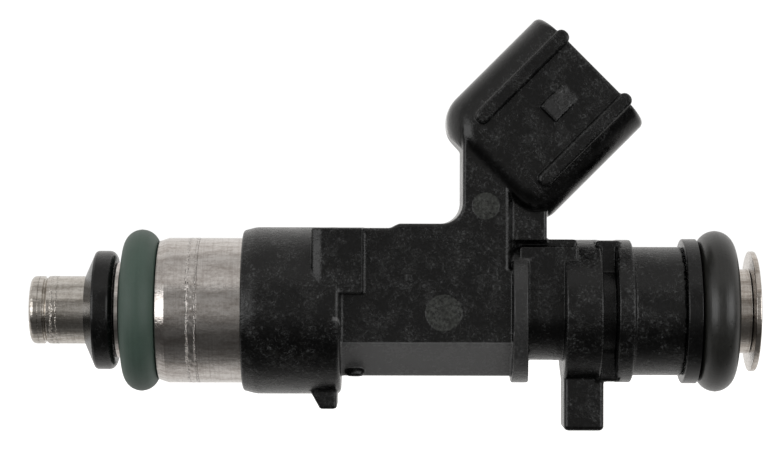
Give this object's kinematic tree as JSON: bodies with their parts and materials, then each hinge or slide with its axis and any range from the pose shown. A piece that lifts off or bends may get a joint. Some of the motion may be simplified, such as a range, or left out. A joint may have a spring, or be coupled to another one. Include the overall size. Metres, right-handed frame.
{
  "type": "fuel injector",
  "caption": "Port fuel injector: steel valve tube and magnet housing in a black plastic overmould, angled plug socket, O-ring seals at both ends, and a sprung needle valve inside.",
  "frame": {"origin": "on the injector's axis at the middle of the lower O-ring's seat, where the manifold bore holds it", "axes": "+X along the injector's axis from the spray tip to the fuel inlet; +Z towards the electrical connector"},
  "size_m": [0.0655, 0.0152, 0.0372],
  "materials": {
    "black_nylon": "glass-filled nylon, satin, with a fine speckle",
    "ring_nylon": "satin black nylon",
    "stainless": "turned and drawn stainless steel, fine circumferential marks",
    "magnetic_steel": "turned ferritic steel, dull",
    "green_rubber": "moulded fluoro rubber, dark green, matt",
    "black_rubber": "moulded rubber, black, satin",
    "bobbin_nylon": "natural nylon",
    "enamelled_copper": "enamelled copper wire, close wound",
    "filter_brass": "drawn brass",
    "screen_mesh": "fine woven wire",
    "tinned_contact": "tin-plated copper alloy"
  },
  "bodies": {
    "injector_body": {"body_overmould": "black_nylon", "magnet_housing": "stainless", "valve_sleeve": "stainless", "lower_retaining_ring": "ring_nylon", "lower_o_ring": "green_rubber", "spray_disc": "stainless", "valve_seat": "stainless", "return_spring": "stainless", "adjusting_sleeve": "magnetic_steel", "pole_core": "magnetic_steel", "coil_bobbin": "bobbin_nylon", "coil_winding": "enamelled_copper", "flux_washer": "magnetic_steel", "inlet_tube": "stainless", "filter_collar": "filter_brass", "filter_cage": "bobbin_nylon", "filter_screen": "screen_mesh", "upper_support_ring": "ring_nylon", "upper_o_ring": "black_rubber", "terminal_left": "tinned_contact", "terminal_right": "tinned_contact"},
    "valve_needle": {"valve_ball": "stainless", "needle_tube": "stainless", "armature": "magnetic_steel"}
  },
  "joints": [
    {"name": "needle_lift", "type": "slide", "parent": "injector_body", "child": "valve_needle", "axis": [1, 0, 0], "range_m": [0, 0.00008], "stiffness_N_per_m": 1500, "springref_m": -0.0015, "deforming": ["return_spring"]}
  ]
}
